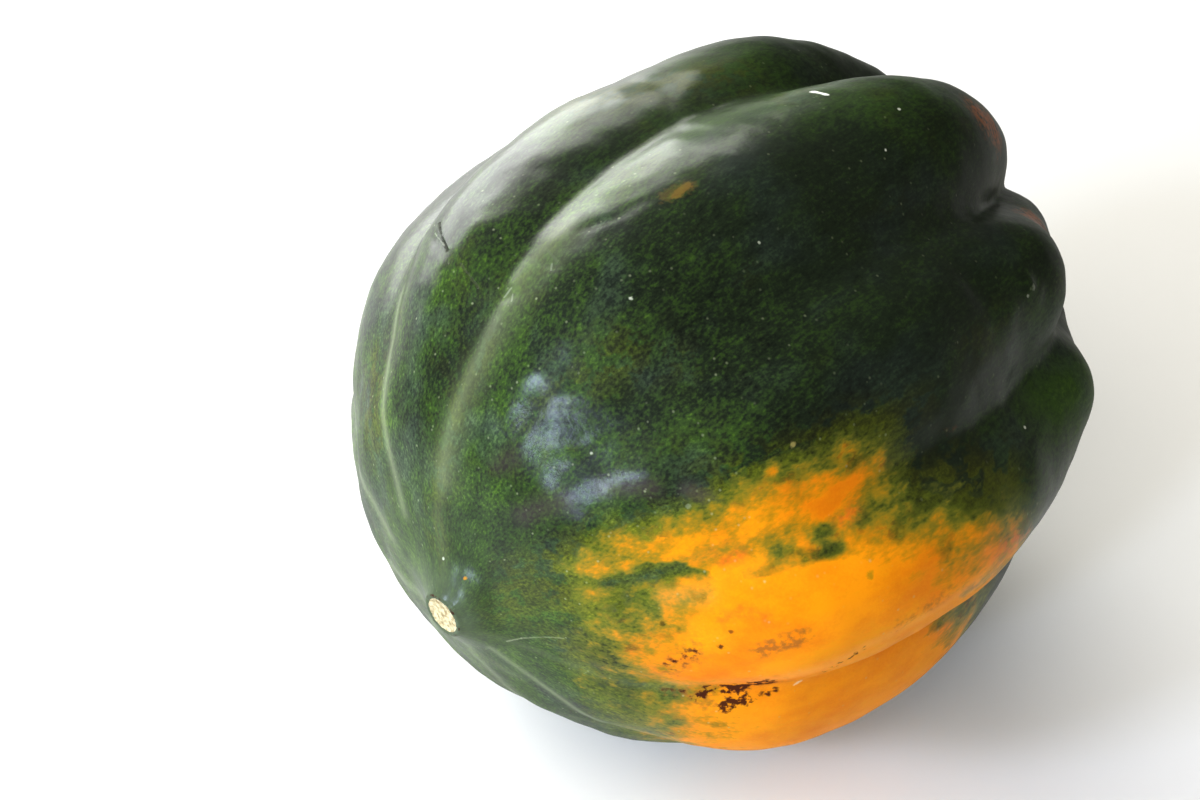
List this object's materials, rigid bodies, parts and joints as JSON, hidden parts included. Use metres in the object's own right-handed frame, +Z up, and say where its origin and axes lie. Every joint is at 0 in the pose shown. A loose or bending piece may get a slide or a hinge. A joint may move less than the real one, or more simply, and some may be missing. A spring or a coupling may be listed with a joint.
{
  "type": "acorn squash",
  "caption": "Whole ribbed acorn squash lying on its side, dark green with an orange patch, with a corky blossom scar and a dry stem stub.",
  "frame": {"origin": "on the ground, under the middle of the squash's box", "axes": "+X along the fruit towards its stem end, +Z up"},
  "size_m": [0.1396, 0.1268, 0.1149],
  "materials": {
    "rind": "waxy, semi-gloss",
    "stem": "dry, corky"
  },
  "bodies": {
    "root": {"fruit": "rind", "stem": "stem"}
  },
  "joints": []
}
